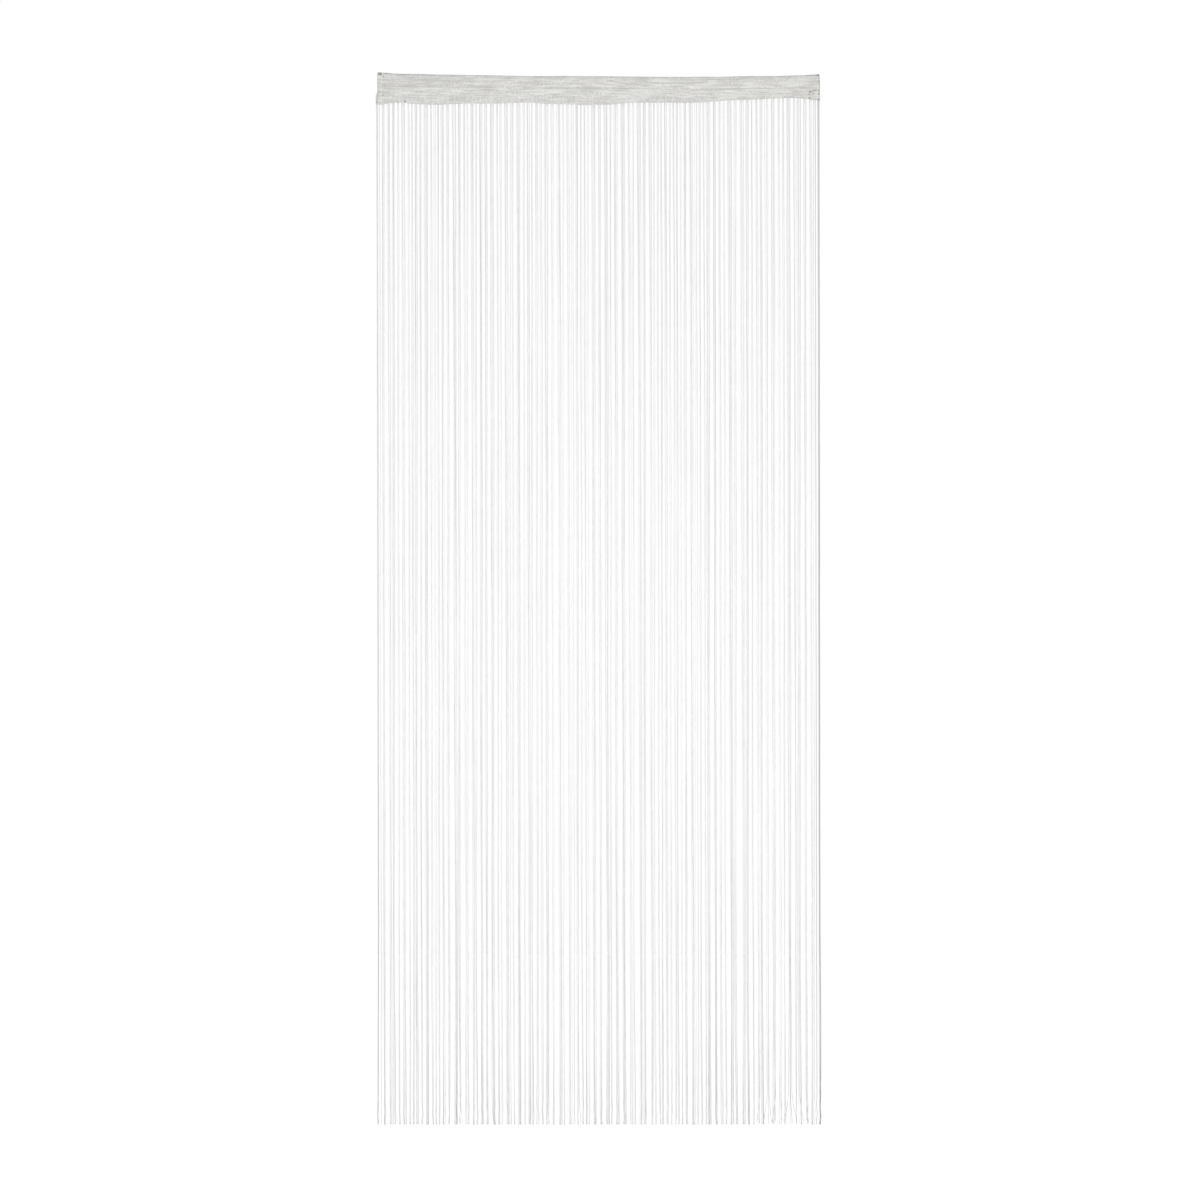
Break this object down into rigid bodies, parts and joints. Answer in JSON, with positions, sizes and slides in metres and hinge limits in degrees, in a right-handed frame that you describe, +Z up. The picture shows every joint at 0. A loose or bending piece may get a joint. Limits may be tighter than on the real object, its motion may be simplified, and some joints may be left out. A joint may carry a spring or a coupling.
{
  "type": "string curtain",
  "caption": "Hanging door curtain: a narrow woven header tape with a rod pocket, and fine loose strings that hang straight down from its lower edge.",
  "frame": {"origin": "on the header's top edge, halfway along it, in the middle of its thickness", "axes": "+Z up, +X to the right as seen from the front, +Y away from the viewer, through the curtain"},
  "size_m": [0.8904, 0.0106, 2.1029],
  "materials": {
    "tape": "matt woven tape, warm off-white",
    "yarn": "soft twisted yarn, off-white"
  },
  "bodies": {
    "root": {"header": "tape", "strings": "yarn"}
  },
  "joints": []
}
